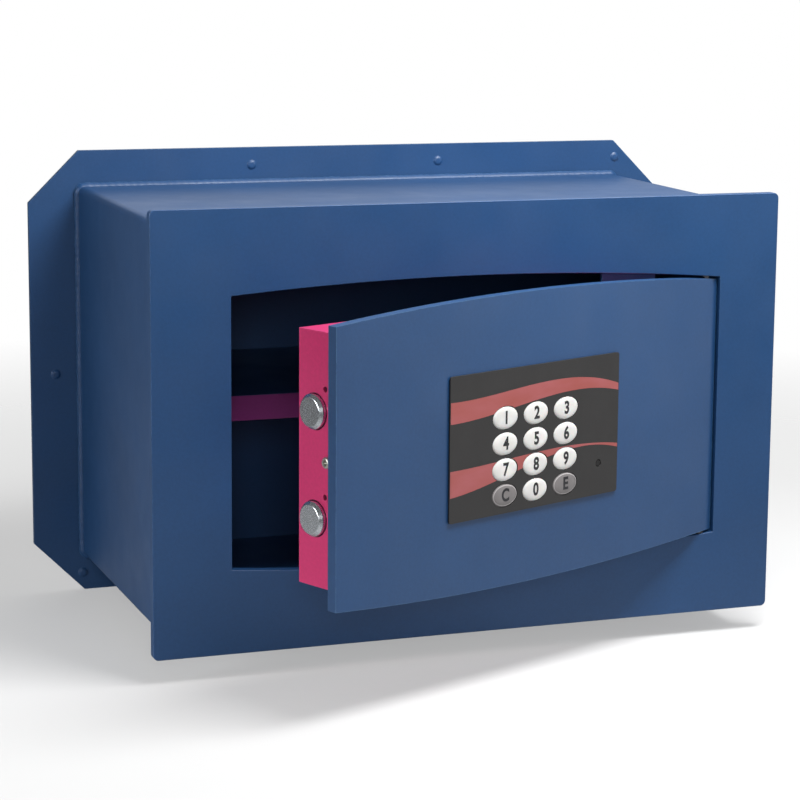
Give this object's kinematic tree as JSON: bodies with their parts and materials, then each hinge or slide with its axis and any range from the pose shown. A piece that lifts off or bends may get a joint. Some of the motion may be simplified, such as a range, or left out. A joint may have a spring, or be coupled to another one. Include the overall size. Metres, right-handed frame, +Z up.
{
  "type": "wall safe",
  "caption": "Recessed wall safe: framed box with anchoring flange, arched swinging door, keypad, motorised round bolts and an inner shelf.",
  "frame": {"origin": "centre of the rear panel's outer face", "axes": "+X towards the door's hinge side, +Y into the wall, +Z up; the front frame faces -Y"},
  "size_m": [0.402, 0.3142, 0.264],
  "materials": {
    "blue_paint": "satin blue powder coat",
    "crimson_paint": "satin crimson powder coat",
    "bolt_chrome": "polished",
    "plain_steel": "plain",
    "zinc_plate": "zinc plated",
    "black_plastic": "fine texture",
    "white_key": "satin",
    "grey_key": "satin",
    "dark_rubber": "matte",
    "circuit_board": "solder mask",
    "dark_lens": "gloss",
    "cell_wrap": "printed foil without print"
  },
  "bodies": {
    "safe_body": {"front_frame": "blue_paint", "body_shell": "blue_paint", "rear_panel": "blue_paint", "hinge_pin_upper": "plain_steel", "hinge_pin_lower": "plain_steel", "hinge_washer": "zinc_plate", "door_stop_upper": "blue_paint", "door_stop_lower": "blue_paint", "shelf": "crimson_paint", "shelf_bracket_left": "blue_paint", "shelf_bracket_right": "blue_paint"},
    "door": {"door_plate": "blue_paint", "lock_case": "crimson_paint", "case_lug_left": "plain_steel", "case_lug_right": "plain_steel", "case_screw_left": "zinc_plate", "case_screw_right": "zinc_plate", "bolt_chassis": "plain_steel", "gearbox": "zinc_plate", "motor": "plain_steel", "lock_board": "circuit_board", "ribbon_cable": "dark_rubber", "battery_tray": "black_plastic", "battery_1": "cell_wrap", "battery_2": "cell_wrap", "battery_3": "cell_wrap", "battery_4": "cell_wrap", "keypad_bezel": "black_plastic", "status_lens": "dark_lens", "key_membrane": "dark_rubber", "keypad_board": "circuit_board"},
    "bolt_work": {"bolt_upper": "bolt_chrome", "bolt_lower": "bolt_chrome", "bolt_carriage": "plain_steel", "carriage_screw_upper": "zinc_plate", "carriage_screw_lower": "zinc_plate", "drive_rack": "plain_steel"},
    "pinion": {"drive_pinion": "zinc_plate"},
    "cover": {"battery_cover": "crimson_paint"},
    "button_1": {"key_1": "white_key"},
    "button_2": {"key_2": "white_key"},
    "button_3": {"key_3": "white_key"},
    "button_4": {"key_4": "white_key"},
    "button_5": {"key_5": "white_key"},
    "button_6": {"key_6": "white_key"},
    "button_7": {"key_7": "white_key"},
    "button_8": {"key_8": "white_key"},
    "button_9": {"key_9": "white_key"},
    "button_clear": {"key_clear": "grey_key"},
    "button_0": {"key_0": "white_key"},
    "button_enter": {"key_enter": "grey_key"}
  },
  "joints": [
    {"name": "door_hinge", "type": "hinge", "parent": "safe_body", "child": "door", "pos_m": [0.1375, -0.207, 0], "axis": [0, 0, 1], "range_deg": [-22.5, 67.5]},
    {"name": "bolt_throw", "type": "slide", "parent": "door", "child": "bolt_work", "axis": [-0.9239, -0.3827, 0], "range_m": [0, 0.018]},
    {"name": "pinion_spin", "type": "hinge", "parent": "door", "child": "pinion", "pos_m": [-0.04077, -0.26136, 0.008], "axis": [-0.3827, 0.9239, 0], "range_deg": [0, 142]},
    {"name": "battery_cover_slide", "type": "slide", "parent": "door", "child": "cover", "axis": [-0.9239, -0.3827, 0], "range_m": [0, 0.057]},
    {"name": "press_1", "type": "slide", "parent": "door", "child": "button_1", "axis": [-0.3827, 0.9239, 0], "range_m": [0, 0.001], "stiffness_N_per_m": 400},
    {"name": "press_2", "type": "slide", "parent": "door", "child": "button_2", "axis": [-0.3827, 0.9239, 0], "range_m": [0, 0.001], "stiffness_N_per_m": 400},
    {"name": "press_3", "type": "slide", "parent": "door", "child": "button_3", "axis": [-0.3827, 0.9239, 0], "range_m": [0, 0.001], "stiffness_N_per_m": 400},
    {"name": "press_4", "type": "slide", "parent": "door", "child": "button_4", "axis": [-0.3827, 0.9239, 0], "range_m": [0, 0.001], "stiffness_N_per_m": 400},
    {"name": "press_5", "type": "slide", "parent": "door", "child": "button_5", "axis": [-0.3827, 0.9239, 0], "range_m": [0, 0.001], "stiffness_N_per_m": 400},
    {"name": "press_6", "type": "slide", "parent": "door", "child": "button_6", "axis": [-0.3827, 0.9239, 0], "range_m": [0, 0.001], "stiffness_N_per_m": 400},
    {"name": "press_7", "type": "slide", "parent": "door", "child": "button_7", "axis": [-0.3827, 0.9239, 0], "range_m": [0, 0.001], "stiffness_N_per_m": 400},
    {"name": "press_8", "type": "slide", "parent": "door", "child": "button_8", "axis": [-0.3827, 0.9239, 0], "range_m": [0, 0.001], "stiffness_N_per_m": 400},
    {"name": "press_9", "type": "slide", "parent": "door", "child": "button_9", "axis": [-0.3827, 0.9239, 0], "range_m": [0, 0.001], "stiffness_N_per_m": 400},
    {"name": "press_clear", "type": "slide", "parent": "door", "child": "button_clear", "axis": [-0.3827, 0.9239, 0], "range_m": [0, 0.001], "stiffness_N_per_m": 400},
    {"name": "press_0", "type": "slide", "parent": "door", "child": "button_0", "axis": [-0.3827, 0.9239, 0], "range_m": [0, 0.001], "stiffness_N_per_m": 400},
    {"name": "press_enter", "type": "slide", "parent": "door", "child": "button_enter", "axis": [-0.3827, 0.9239, 0], "range_m": [0, 0.001], "stiffness_N_per_m": 400}
  ],
  "couplings": [
    {"joint": "pinion_spin", "follows": "bolt_throw", "rad_per_m": 133.33}
  ]
}
